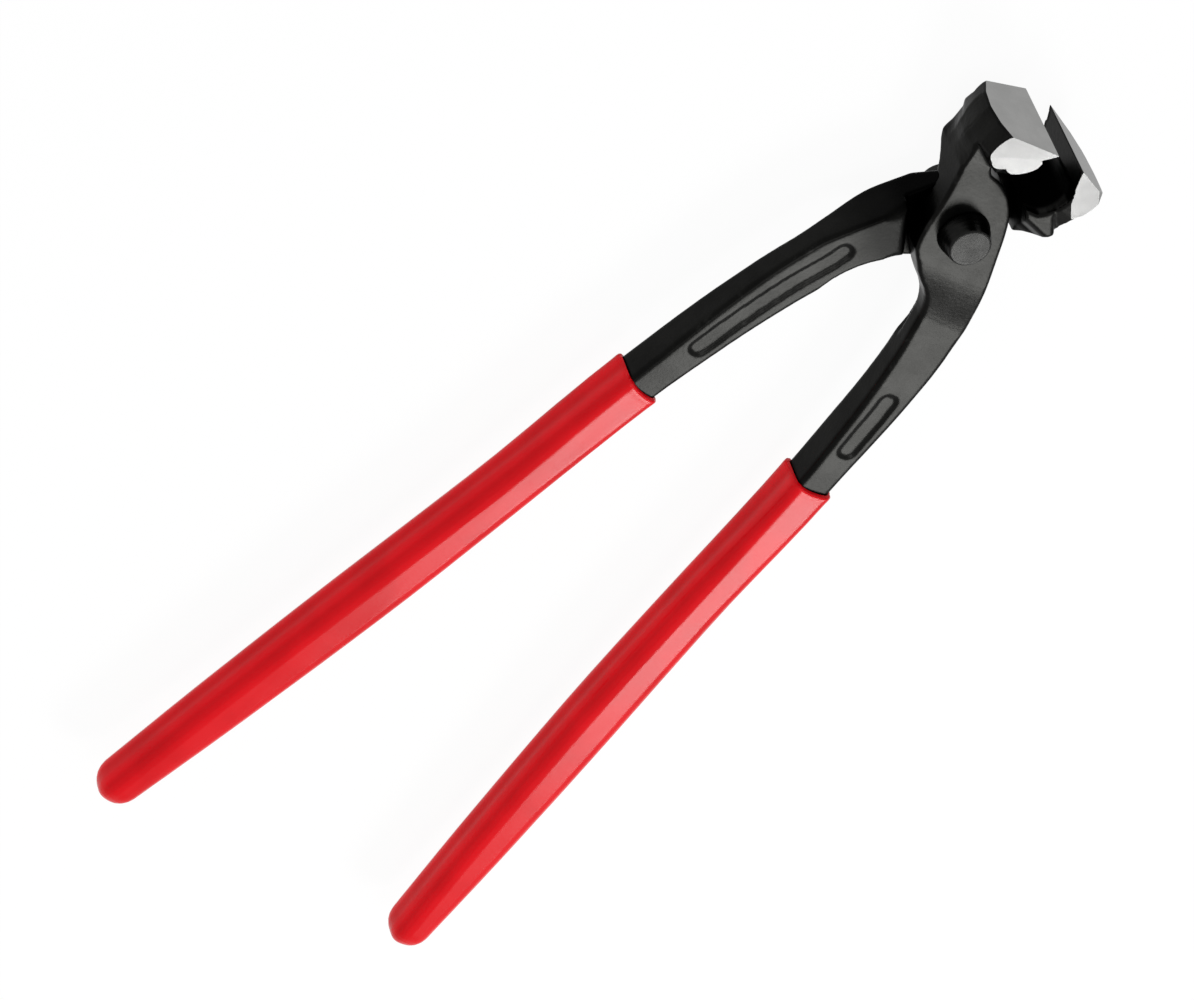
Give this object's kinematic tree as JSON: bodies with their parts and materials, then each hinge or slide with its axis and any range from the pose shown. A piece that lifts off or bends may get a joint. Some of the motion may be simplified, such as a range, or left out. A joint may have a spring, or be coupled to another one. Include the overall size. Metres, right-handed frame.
{
  "type": "rebar tying pliers",
  "caption": "Long-handled end-cutting nippers for twisting and cutting tie wire: wide hooked jaws, lap joint with a rivet, bowed arms and dipped grips.",
  "frame": {"origin": "on the axis of the rivet, at its rear end face", "axes": "+Y from the rivet to the jaws, along the tool; +Z along the axis of the rivet, towards the front; +X to the right seen from the front"},
  "size_m": [0.1102, 0.2806, 0.0279],
  "materials": {
    "front_lever_steel": "dark forged steel, satin, with bright ground cutting faces",
    "rear_lever_steel": "dark forged steel, satin, with bright ground cutting faces",
    "rivet_steel": "turned dark steel",
    "front_grip_plastic": "glossy dipped plastic",
    "rear_grip_plastic": "glossy dipped plastic"
  },
  "bodies": {
    "rear_half": {"rear_lever": "rear_lever_steel", "rear_grip": "rear_grip_plastic", "joint_rivet": "rivet_steel"},
    "front_half": {"front_lever": "front_lever_steel", "front_grip": "front_grip_plastic"}
  },
  "joints": [
    {"name": "opening", "type": "hinge", "parent": "rear_half", "child": "front_half", "pos_m": [0, 0, 0.0128], "axis": [0, 0, 1], "range_deg": [-14.7, 19.8]}
  ]
}
